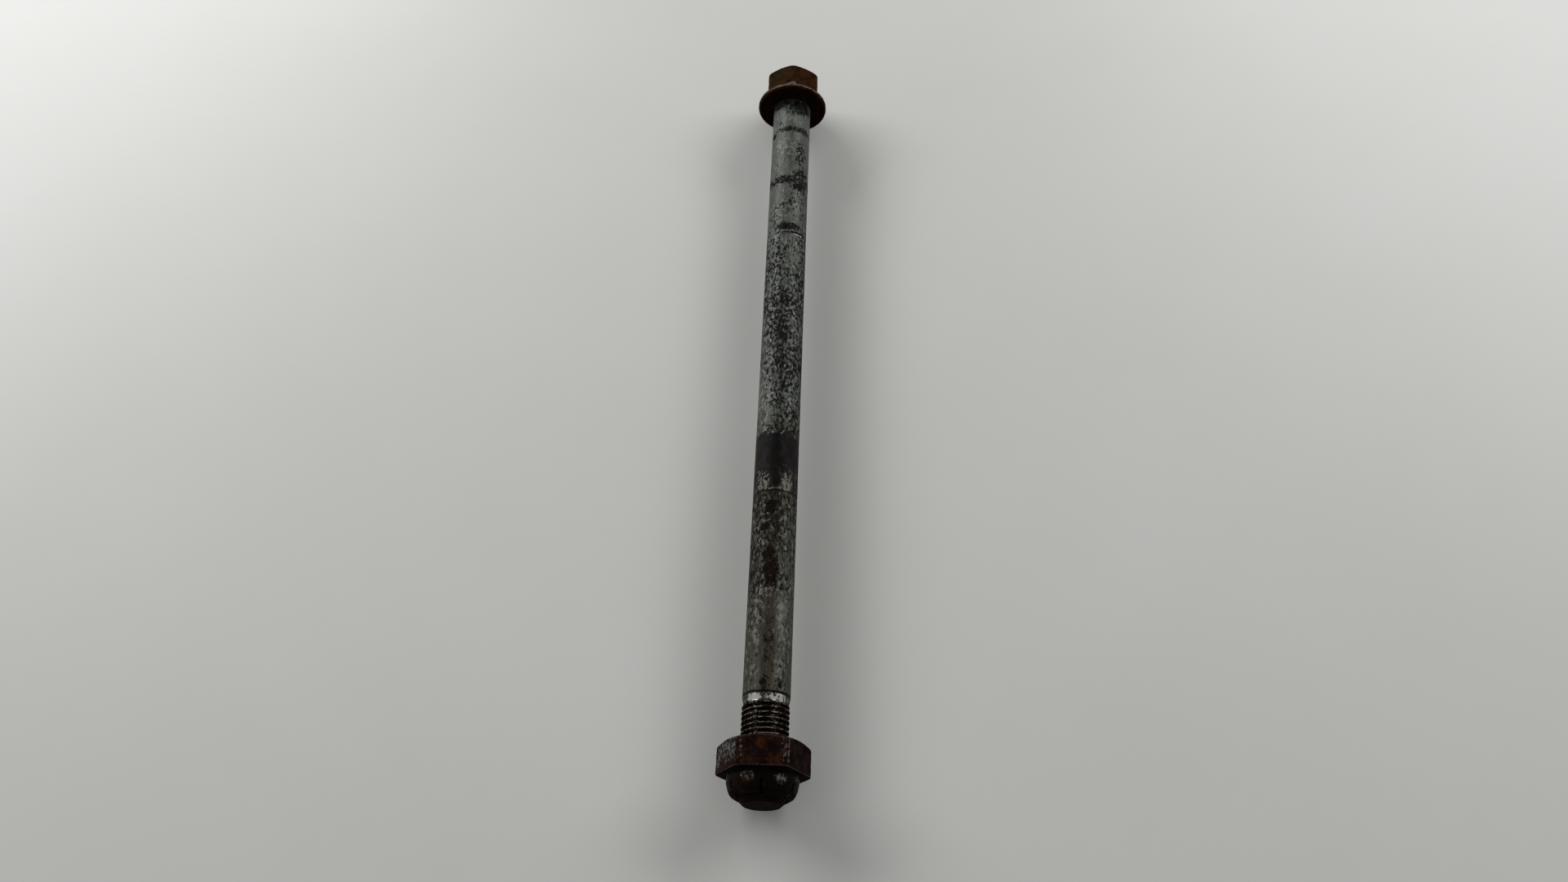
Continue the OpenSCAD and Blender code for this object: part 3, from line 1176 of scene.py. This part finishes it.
@dataclass
class LockNut:
    """One-piece lock nut: a chamfered hexagon with blunt corners under a slotted, domed crown."""

    af: float = 24.0
    hex_h: float = 8.6
    face_d: float = 22.6
    bore_d: float = 14.1
    mouth: float = 0.644
    crown_d: float = 20.6
    crown_foot: float = 1.2
    dome_r: float = 7.7
    crown_top_d: float = 15.2
    slot_w: float = 0.9
    slot_depth: float = 3.5
    arris: float = 0.18             # how far the rounding at the hexagon's outer end goes in

    waves: Waves = Waves(0.09, 2.6, seed=11)
    finish: RustyForging = RustyForging(
        "rusty_nut", deep=(0.0028, 0.0010, 0.0006), film=(0.0020, 0.0009, 0.0007),
        cool=(0.0135, 0.0076, 0.0064), warm=(0.036, 0.0095, 0.0020), metal=(0.11, 0.108, 0.106),
        patch_size=3.2, freshness=0.49, film_roughness=0.40, specular=0.03,
    )
    stains_and_shade: Marks = (
        # The last darkens the crown round its top slot: painted shade.
        Mark(249.0, -6, 1.8, 4.5, 0.6), Mark(246, 16, 1.8, 2.6, 0.55), Mark(255.5, 2, 4.0, 3.6, 0.9),
    )
    # Film taken off the crown at -32 degrees: a painted highlight.
    crown_highlight: Marks = (Mark(256, -32, 3.0, 4.0, 0.16),)
    orange: Marks = (
        Mark(246.6, -4, 1.6, 2.8, 1.0), Mark(250.3, 8, 1.3, 2.8, 1.0), Mark(247.5, 12, 1.5, 1.2, 0.8),
        Mark(247, 118, 3, 5, 0.9),
    )
    crown_orange: Marks = (Mark(256, -30, 3, 5, 0.7),)
    # Bare metal. The four on the crown, at about ±24 to 31 and ±80 degrees, are painted highlights; the two
    # on the hexagon are wear.
    chips_and_highlights: Marks = (
        Mark(247, 27, 4.0, 1.1, 0.36), Mark(247.5, -28, 4.5, 0.9, 0.36), Mark(254.8, 31, 1.6, 2.2, 0.50),
        Mark(254.4, -24, 1.8, 2.6, 0.46), Mark(253.6, 80, 1.2, 4.0, 0.42), Mark(253.6, -80, 1.2, 4.0, 0.42),
    )
    rubbed_arris: Marks = (Mark(248, 32.5, 5, 0.42, 0.72),)
    scuffs: Levels = ((244, 0.42), (247, 0.48), (250, 0.37), (252, 0.20))

    def __post_init__(self) -> None:
        """Takes the nut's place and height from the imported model."""
        low, high = (np.array(corner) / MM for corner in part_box("lock_nut"))
        self.x = float(low[0])
        self.top_x = float(high[0])
        self.corner_d = float(high[1] - low[1])
        self.hex_x = self.x + self.hex_h
        self.floor_x = self.top_x - self.slot_depth

    def lobe_columns(self) -> np.ndarray:
        """Columns between two slots, close together at the walls and at the hexagon's corner.

        Returns:
            Shares of the way from one wall to the next.
        """
        by_wall = [0, 0.008, 0.02, 0.05, 0.1, 0.17, 0.25, 0.32, 0.37]
        by_arris = [0.40, 0.412, 0.422, 0.430, 0.438, 0.448, 0.465, 0.485, 0.5]
        half = np.array(by_wall + by_arris)
        return np.concatenate([half, 1 - half[-2::-1]])

    def crown_radius(self, x: np.ndarray) -> np.ndarray:
        """Radius of the crown: a straight foot, the dome's arc above it, and the end's chamfer.

        The arc's middle is dome_r inside the foot, level with its upper end, so at height h
        above the foot the radius is crown_d / 2 - dome_r + sqrt(dome_r^2 - h^2).

        Args:
            x: Places along the bolt.

        Returns:
            The radius at each place.
        """
        height = np.maximum(x - (self.hex_x + self.crown_foot), 0)
        dome = self.crown_d / 2 - self.dome_r + np.sqrt(self.dome_r**2 - height**2)
        chamfer = self.crown_top_d / 2 + (self.top_x - x) / CHAMFER_SLOPE
        return smooth_min(dome, chamfer, 0.25)[0]

    def outline(self) -> tuple[np.ndarray, np.ndarray, np.ndarray]:
        """Rows of the outline, from the bore's upper end round the outside and back.

        Returns:
            For each row, as columns of one: its place along the bolt, its radius where it is
            turned (on the outer face the share of the way in to the crown), and its face.
        """
        bore_r, edge_r, hex_x = self.bore_d / 2, self.crown_top_d / 2, self.hex_x
        bend_x, mouth = self.top_x - 1.3, np.array([0.5, 0.9])
        bore_x = steps(self.top_x - 0.1, self.x + self.mouth, gap=0.8)
        side_x = np.concatenate([
            steps(self.x + 0.02, self.x + 1.7, gap=0.1),
            steps(self.x + 1.7, hex_x - 0.5, gap=0.5)[1:],
            steps(hex_x - 0.5, hex_x - 0.02, gap=0.08)[1:],
        ])
        crown_x = np.concatenate([steps(hex_x + 0.05, bend_x, gap=0.22),
                                  steps(bend_x, self.top_x - 0.03, gap=0.08)[1:]])
        runs = [
            (bore_x, bore_r, Face.BORE),
            (self.x + self.mouth * (1 - mouth), bore_r + self.mouth * mouth, Face.BORE),
            (self.x, steps(bore_r + self.mouth + 0.06, self.face_d / 2 - 0.1, gap=0.6), Face.BEARING),
            (side_x, 0.0, Face.SIDE),
            (hex_x, np.array([0.03, 0.08, 0.2, 0.4, 0.6, 0.8, 0.93, 0.985]), Face.OUTER),
            (crown_x, self.crown_radius(crown_x), Face.CROWN),
            (self.top_x, np.array([edge_r - 0.05, edge_r - 0.2, bore_r + 0.12]), Face.TOP),
        ]
        rows = [np.broadcast_arrays(*run) for run in runs]
        along, turned, face = (np.concatenate(column)[:, None] for column in zip(*rows))
        return along, turned, face

    def sides(self, along: np.ndarray, turned: np.ndarray, face: np.ndarray,
              azimuth: np.ndarray) -> tuple[np.ndarray, np.ndarray]:
        """Radius of the whole outside, as if there were no slots.

        The hexagon's side is the smallest of the flats af / (2 cos f), the corner's round and
        the chamfer's cone, and goes in at its outer end by the arris.

        Args:
            along: Places along the bolt, by row.
            turned: The outline's radii or shares, by row.
            face: The outline's faces, by row.
            azimuth: Azimuths, by row and column.

        Returns:
            The radius, and nearness to an edge.
        """
        on_side, on_outer = face == Face.SIDE, face == Face.OUTER
        flats = self.af / 2 / np.cos(np.radians((azimuth + SECTOR / 2) % SECTOR - SECTOR / 2))
        hexagon, corner = smooth_min(flats, self.corner_d / 2, 0.16)
        side, lower = smooth_min(hexagon, self.face_d / 2 + (along - self.x) / CHAMFER_SLOPE, 0.4)
        side = side - self.arris * smooth_step(along, self.hex_x - 0.16, self.hex_x + 0.04)
        rim = hexagon - self.arris
        outer = rim + (self.crown_d / 2 - rim) * turned
        # The bell at the hexagon's outer end is a rubbed edge and also a painted highlight along it.
        edge = np.maximum(np.maximum(corner * 0.55, lower * 0.45), bell(along, self.hex_x, 0.22))
        radius = np.where(on_side, side, np.where(on_outer, outer, turned))
        return radius, np.where(on_side, edge, np.where(on_outer, np.exp(-turned / 0.05), 0.0))

    def floor_radii(self, above: np.ndarray) -> np.ndarray:
        """Radii of the rows that lie on a slot's floor, even from the crown's outside to the bore.

        Args:
            above: Which rows are above the floor. Those of the bore come first in the outline.

        Returns:
            The radius of each row, and 0 for the others.
        """
        rows = np.flatnonzero(above)
        middle = len(above) // 2
        path = np.concatenate([rows[rows >= middle], rows[rows < middle]])
        outer_r = float(self.crown_radius(np.array(self.floor_x)))
        radii = np.zeros(len(above))
        radii[path] = outer_r + (self.bore_d / 2 - outer_r) * np.linspace(0, 1, len(path) + 2)[1:-1]
        return radii

    def skin(self, along: np.ndarray, turned: np.ndarray, face: np.ndarray) -> Skin:
        """The nut's whole surface, slots included.

        The columns come in six sets, each with four on the slot's floor and the rest over a
        lobe. A column by a slot keeps its distance y from the slot's middle plane, so its
        azimuth at radius r is asin(y / r). On a floor column, every row above the floor lies
        on the floor.

        Args:
            along: The outline's places.
            turned: Its radii or shares.
            face: Its faces.

        Returns:
            The surface, with its edge and stain layers; the stain layer holds painted shade in the slots.
        """
        lobes = self.lobe_columns()
        floor_y = (self.slot_w - 0.06) * np.array([-0.5, -0.18, 0.18, 0.5])
        shares = np.concatenate([0 * floor_y, lobes])[None, :]
        lobe = np.arange(shares.size)[None, :] >= len(floor_y)
        floor_y = np.concatenate([floor_y, 0 * lobes])[None, :]

        near = [self.af / 2, self.crown_d / 2]
        near_r = np.select([face == Face.SIDE, face == Face.OUTER], near, turned)
        wall = np.degrees(np.arcsin(self.slot_w / 2 / near_r))
        azimuth = np.degrees(np.arcsin(floor_y / near_r))
        azimuth = np.where(lobe, wall + shares * (SECTOR - 2 * wall), azimuth)
        radius, edge = self.sides(along, turned, face, azimuth)

        above = ((face >= Face.CROWN) | (face == Face.BORE)) & (along > self.floor_x)
        floor_r = self.floor_radii(above[:, 0])[:, None]
        on_floor = above & ~lobe
        radius = np.where(on_floor, floor_r, radius)
        azimuth = np.where(on_floor, np.degrees(np.arcsin(floor_y / np.maximum(floor_r, 1))), azimuth)
        place = np.where(on_floor, self.floor_x, along)

        from_wall = np.minimum(shares, 1 - shares)
        by_slot = (face == Face.CROWN) & (along > self.floor_x) & lobe
        radius = radius - np.where(by_slot, 0.10 * np.exp(-from_wall / 0.012), 0)
        # Rubbed lips beside the slots, also a painted highlight along their edges.
        edge = np.where(by_slot, 0.55 * np.exp(-from_wall / 0.02), edge)
        edge = np.where((face == Face.TOP) & lobe, 0.35, edge)
        # Film along the slot walls and over the slot floors: painted shade in the slots.
        slot_shade = np.where(by_slot, 0.98 * bell(from_wall, 0, 0.05), on_floor)
        place, radius, edge, slot_shade = (np.tile(a, (1, SECTORS)) for a in (place, radius, edge, slot_shade))
        turns = np.concatenate([azimuth + SECTOR * k for k in range(SECTORS)], axis=1)
        return Skin(place, radius, turns, {Layer.EDGE: edge, Layer.STAIN: slot_shade})

    def flat(self, skin: Skin, middle: float) -> np.ndarray:
        """1 over the flat whose middle is at an azimuth, and 0 beyond it."""
        return smooth_step(29 - np.abs(folded(skin.turn - middle)), 0, 6)

    def dress(self, skin: Skin, face: np.ndarray) -> None:
        """Paints the nut's layers.

        Args:
            skin: The nut's surface.
            face: The face of each row.
        """
        on_side, on_crown = face == Face.SIDE, face == Face.CROWN
        # Film by face. On the outer face it is painted shade, near black; on the crown and the end it is
        # oily film made darker as painted shade.
        film = {Face.BORE: 1.0, Face.OUTER: 0.95, Face.CROWN: 0.72, Face.TOP: 0.80}
        stain = np.select([face == key for key in film], list(film.values()), 0.30)
        stain = np.maximum(np.maximum(skin.layers[Layer.STAIN], stain), skin.paint(self.stains_and_shade))
        end = smooth_step(skin.along, self.top_x - 1.9, self.top_x - 1.0)
        warm = 0.35 + (0.15 * self.flat(skin, 0) - 0.3 * self.flat(skin, 60)) * on_side
        warm = np.maximum(warm, skin.paint(self.orange))
        bare = level_at(skin.along, self.scuffs) * self.flat(skin, -60)
        bare = (bare + 0.16 * self.flat(skin, 180) + 0.22 * self.flat(skin, -120)) * on_side
        bare = np.maximum(bare, skin.paint(self.chips_and_highlights))
        skin.layers |= {
            Layer.STAIN: stain - skin.paint(self.crown_highlight) * on_crown,
            Layer.GLOSS: np.select([on_crown, on_side], [1.0 - 0.85 * end, 0.5], 0.0),
            Layer.WARM: np.where(on_crown, skin.paint(self.crown_orange) + 0.25, warm),
            Layer.EDGE: np.maximum(skin.layers[Layer.EDGE], skin.paint(self.rubbed_arris) * on_side),
            Layer.BARE_AND_HIGHLIGHT: np.where(face == Face.BORE, 0, bare),
        }

    def build(self, effects: Effects) -> bpy.types.Object:
        """Builds the nut as one closed mesh and dresses it.

        Args:
            effects: The shared node groups.

        Returns:
            The finished piece.
        """
        along, turned, face = self.outline()
        skin = self.skin(along, turned, face)
        skin.roughen(self.waves, (face == Face.SIDE) | (face == Face.CROWN))
        self.dress(skin, face)
        one_finish = np.zeros(len(along), int)
        piece = skin.piece("nut_dressed", [self.finish.material(effects)], one_finish, capped=False)
        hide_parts("lock_nut")
        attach(piece, "nut")
        return piece


# ---------------------------------------------------------------- the room


@dataclass(frozen=True)
class Lamp:
    """Soft rectangular lamp: its place, its width and height, and its power in watts."""

    name: str
    place: tuple[float, float, float]
    size: tuple[float, float]
    watts: float


@dataclass
class Studio:
    """Camera, table top and soft light."""

    eye: tuple[float, float, float] = (351.0, 13.4, 369.2)
    right: tuple[float, float, float] = (-0.0359, 0.9993, -0.0108)
    up: tuple[float, float, float] = (-0.8274, -0.0237, 0.5611)
    back: tuple[float, float, float] = (0.5605, 0.0291, 0.8276)
    lens: float = 29.82
    sensor: float = 36.0
    shift: float = -0.0729
    clip: tuple[float, float] = (0.01, 20.0)        # nearest and farthest, in metres
    table_half: float = 2500.0
    flange_foot: tuple[float, float] = (-1.3, -13.0)
    nut_foot: tuple[float, float] = (252.3, -12.0)
    aim: tuple[float, float, float] = (120.0, 0.0, 0.0)
    lamps: tuple[Lamp, ...] = (
        Lamp("left_softbox", (-700, -950, 640), (1300, 400), 18.8),
        Lamp("right_softbox", (-700, 900, 700), (1300, 400), 13.2),
    )
    ambient: float = 0.22
    ambient_tint: Colour = (1.0, 1.0, 0.98)
    backdrop: Colour = (0.56, 0.56, 0.545)

    def camera(self) -> None:
        """Adds the camera, above the threaded end and looking back along the bolt."""
        data = bpy.data.cameras.new("camera")
        data.lens = self.lens
        data.sensor_width = self.sensor
        data.shift_y = self.shift
        data.clip_start, data.clip_end = self.clip
        made = in_scene(bpy.data.objects.new("camera", data))
        turn = Matrix((self.right, self.up, self.back)).transposed().to_4x4()
        made.matrix_world = Matrix.Translation(Vector(self.eye) * MM) @ turn
        bpy.context.scene.camera = made

    def table(self, effects: Effects) -> None:
        """Adds a flat table top through the lowest points of the flange and the nut.

        Args:
            effects: The shared node groups.
        """
        (x1, z1), (x2, z2) = self.flange_foot, self.nut_foot
        ground = self.table_half * np.array([[-1, -1], [1, -1], [1, 1], [-1, 1]])
        height = z1 + (ground[:, 0] - x1) * ((z2 - z1) / (x2 - x1))
        mesh = bpy.data.meshes.new("table_top")
        mesh.from_pydata((np.column_stack([ground, height]) * MM).tolist(), [], [(0, 1, 2, 3)])
        mesh.materials.append(TableTop("table_top").material(effects))
        in_scene(bpy.data.objects.new("table_top", mesh))

    def light(self, lamp: Lamp) -> None:
        """Adds a lamp, aimed at the middle of the bolt and out of the camera's sight.

        Args:
            lamp: The lamp.
        """
        data = bpy.data.lights.new(lamp.name, "AREA")
        data.shape = "RECTANGLE"
        data.size, data.size_y = (length * MM for length in lamp.size)
        data.energy = lamp.watts
        made = in_scene(bpy.data.objects.new(lamp.name, data))
        place = Vector(lamp.place)
        turn = (Vector(self.aim) - place).to_track_quat("-Z", "Y")
        made.matrix_world = Matrix.Translation(place * MM) @ turn.to_matrix().to_4x4()
        made.visible_camera = False

    def world(self) -> None:
        """Adds even light from all round, which camera and reflections see as a pale backdrop."""
        world = bpy.data.worlds.new("room")
        world.use_nodes = True
        world.node_tree.nodes.clear()
        sheet = Sheet(world.node_tree)
        light = sheet.add("ShaderNodeBackground", {"Color": self.ambient_tint, "Strength": self.ambient})
        seen = sheet.add("ShaderNodeBackground", {"Color": self.backdrop, "Strength": 1.0})
        rays = sheet.add("ShaderNodeLightPath", {}).outputs
        direct = sheet.math("MAXIMUM", rays["Is Camera Ray"], rays["Is Glossy Ray"])
        direct = sheet.math("MAXIMUM", direct, rays["Is Transmission Ray"])
        mixed = sheet.add("ShaderNodeMixShader", {0: direct, 1: light.outputs[0], 2: seen.outputs[0]})
        sheet.add("ShaderNodeOutputWorld", {"Surface": mixed.outputs[0]})
        bpy.context.scene.world = world

    def build(self, effects: Effects) -> None:
        """Sets up the room.

        Args:
            effects: The shared node groups.
        """
        self.camera()
        self.table(effects)
        for lamp in self.lamps:
            self.light(lamp)
        self.world()
        bpy.context.scene.view_settings.view_transform = "Standard"


def report(piece: bpy.types.Object) -> None:
    """Logs a piece's name and size.

    Args:
        piece: The piece.
    """
    mesh = piece.data
    mesh.calc_loop_triangles()
    log.info("%s: %d vertices, %d triangles", piece.name, len(mesh.vertices), len(mesh.loop_triangles))


def main() -> None:
    """Builds the room, the bolt and the nut."""
    logging.basicConfig(level=logging.INFO, format="%(name)s: %(message)s")
    effects = Effects()
    Studio().build(effects)
    report(PivotBolt().build(effects))
    report(LockNut().build(effects))


if __name__ == "__main__":
    main()
